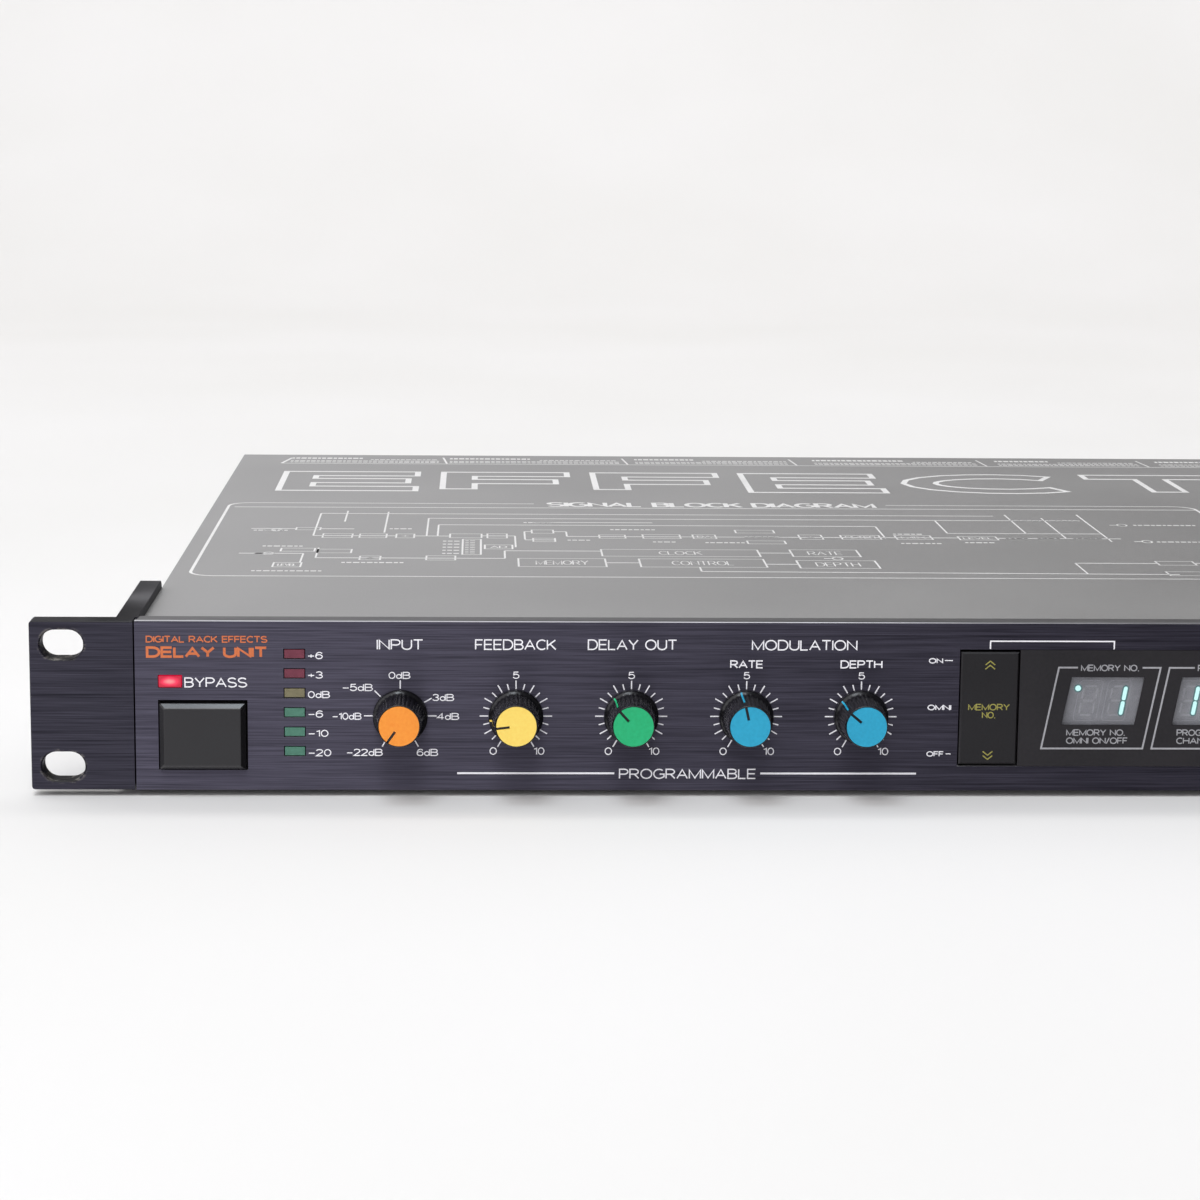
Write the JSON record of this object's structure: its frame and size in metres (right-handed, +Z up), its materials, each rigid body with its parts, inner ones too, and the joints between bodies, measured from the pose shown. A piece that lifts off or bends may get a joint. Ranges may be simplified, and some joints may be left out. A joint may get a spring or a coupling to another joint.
{
  "type": "rack effects unit",
  "caption": "Flat rack-mounted audio delay processor with bolt-on slotted ears, ribbed turning knobs, push buttons, tipping rocker keys and rear sockets.",
  "frame": {"origin": "middle of the four rack slots, on the back face of the rack ears", "axes": "+X to the right seen from the front, +Y into the rack along the slots' axis, +Z up; the panel faces -Y"},
  "size_m": [0.4826, 0.3805, 0.0457],
  "materials": {
    "sheet_black": "matt black powder coat on steel",
    "cover_grey": "matt grey enamel with white print",
    "panel_black": "black anodised, brushed along the width",
    "frame_grey": "satin die casting",
    "screw_black": "black oxide",
    "rubber_black": "matt",
    "knob_black": "satin",
    "cap_orange": "satin",
    "cap_yellow": "satin",
    "cap_green": "satin",
    "cap_blue": "satin",
    "steel_plated": "zinc plated",
    "button_black": "satin",
    "lamp_red_lit": "clear tinted, lit",
    "lamp_red": "diffused, unlit",
    "lamp_yellow": "diffused, unlit",
    "lamp_green": "diffused, unlit",
    "bezel_black": "semi-gloss",
    "lens": "smoked clear acrylic",
    "display": "segment display module",
    "board_green": "solder resist",
    "chip_black": "moulded",
    "capacitor_blue": "shrink sleeve",
    "transformer_core": "varnished laminations",
    "heatsink": "extruded",
    "socket_black": "moulded"
  },
  "bodies": {
    "case": {"chassis_tray": "sheet_black", "board_standoffs": "steel_plated", "top_cover": "cover_grey", "rear_panel": "sheet_black", "front_panel": "panel_black", "front_frame": "frame_grey", "rack_ear_left": "panel_black", "rack_ear_right": "panel_black", "ear_screws": "screw_black", "case_screws": "screw_black", "rubber_feet": "rubber_black", "pot_bodies": "steel_plated", "panel_nuts": "steel_plated", "bypass_led": "lamp_red_lit", "meter_leds_red": "lamp_red", "meter_led_yellow": "lamp_yellow", "meter_leds_green": "lamp_green", "display_bezel": "bezel_black", "display_lens": "lens", "digit_displays": "display", "key_leds": "lamp_red", "power_switch": "chip_black", "tact_switches": "chip_black", "panel_board": "board_green", "main_board": "board_green", "circuit_chips": "chip_black", "capacitors": "capacitor_blue", "transformer": "transformer_core", "regulator_heatsink": "heatsink", "regulators": "chip_black", "phone_jacks": "socket_black", "din_sockets": "socket_black", "power_inlet": "socket_black", "level_switch": "steel_plated"},
    "input_knob": {"knob_input": "knob_black", "cap_input": "cap_orange", "shaft_input": "steel_plated"},
    "feedback_knob": {"knob_feedback": "knob_black", "cap_feedback": "cap_yellow", "shaft_feedback": "steel_plated"},
    "delay_out_knob": {"knob_delay_out": "knob_black", "cap_delay_out": "cap_green", "shaft_delay_out": "steel_plated"},
    "rate_knob": {"knob_rate": "knob_black", "cap_rate": "cap_blue", "shaft_rate": "steel_plated"},
    "depth_knob": {"knob_depth": "knob_black", "cap_depth": "cap_blue", "shaft_depth": "steel_plated"},
    "bypass": {"bypass_button": "button_black"},
    "memory_key": {"memory_rocker": "button_black"},
    "value_key": {"value_rocker": "button_black"},
    "invert_key": {"key_invert": "button_black"},
    "hold_key": {"key_hold": "button_black"},
    "filter_key": {"key_filter": "button_black"},
    "shift_key": {"key_shift": "button_black"},
    "edit_key": {"key_edit": "button_black"},
    "write_key": {"key_write": "button_black"},
    "power": {"power_button": "button_black"},
    "level": {"level_slider": "socket_black"}
  },
  "joints": [
    {"name": "input_turn", "type": "hinge", "parent": "case", "child": "input_knob", "pos_m": [-0.147, -0.012, -0.0025], "axis": [0, 1, 0], "range_deg": [-5, 295]},
    {"name": "feedback_turn", "type": "hinge", "parent": "case", "child": "feedback_knob", "pos_m": [-0.11735, -0.012, -0.0025], "axis": [0, 1, 0], "range_deg": [-53, 247]},
    {"name": "delay_out_turn", "type": "hinge", "parent": "case", "child": "delay_out_knob", "pos_m": [-0.0877, -0.012, -0.0025], "axis": [0, 1, 0], "range_deg": [-108, 192]},
    {"name": "rate_turn", "type": "hinge", "parent": "case", "child": "rate_knob", "pos_m": [-0.05805, -0.012, -0.0025], "axis": [0, 1, 0], "range_deg": [-137, 163]},
    {"name": "depth_turn", "type": "hinge", "parent": "case", "child": "depth_knob", "pos_m": [-0.0284, -0.012, -0.0025], "axis": [0, 1, 0], "range_deg": [-100, 200]},
    {"name": "bypass_press", "type": "slide", "parent": "case", "child": "bypass", "axis": [0, 1, 0], "range_m": [0, 0.0018], "stiffness_N_per_m": 600, "springref_m": -0.002},
    {"name": "memory_tip", "type": "hinge", "parent": "case", "child": "memory_key", "pos_m": [0.00475, 0, -0.0002], "axis": [1, 0, 0], "range_deg": [-2.5, 2.5], "stiffness_Nm_per_rad": 0.6},
    {"name": "value_tip", "type": "hinge", "parent": "case", "child": "value_key", "pos_m": [0.13825, 0, -0.0002], "axis": [1, 0, 0], "range_deg": [-2.5, 2.5], "stiffness_Nm_per_rad": 0.6},
    {"name": "invert_press", "type": "slide", "parent": "case", "child": "invert_key", "axis": [0, 1, 0], "range_m": [0, 0.001], "stiffness_N_per_m": 600, "springref_m": -0.002},
    {"name": "hold_press", "type": "slide", "parent": "case", "child": "hold_key", "axis": [0, 1, 0], "range_m": [0, 0.001], "stiffness_N_per_m": 600, "springref_m": -0.002},
    {"name": "filter_press", "type": "slide", "parent": "case", "child": "filter_key", "axis": [0, 1, 0], "range_m": [0, 0.001], "stiffness_N_per_m": 600, "springref_m": -0.002},
    {"name": "shift_press", "type": "slide", "parent": "case", "child": "shift_key", "axis": [0, 1, 0], "range_m": [0, 0.001], "stiffness_N_per_m": 600, "springref_m": -0.002},
    {"name": "edit_press", "type": "slide", "parent": "case", "child": "edit_key", "axis": [0, 1, 0], "range_m": [0, 0.001], "stiffness_N_per_m": 600, "springref_m": -0.002},
    {"name": "write_press", "type": "slide", "parent": "case", "child": "write_key", "axis": [0, 1, 0], "range_m": [0, 0.001], "stiffness_N_per_m": 600, "springref_m": -0.002},
    {"name": "power_press", "type": "slide", "parent": "case", "child": "power", "axis": [0, 1, 0], "range_m": [0, 0.003], "stiffness_N_per_m": 500, "springref_m": -0.002},
    {"name": "level_slide", "type": "slide", "parent": "case", "child": "level", "axis": [1, 0, 0], "range_m": [0, 0.004]}
  ]
}
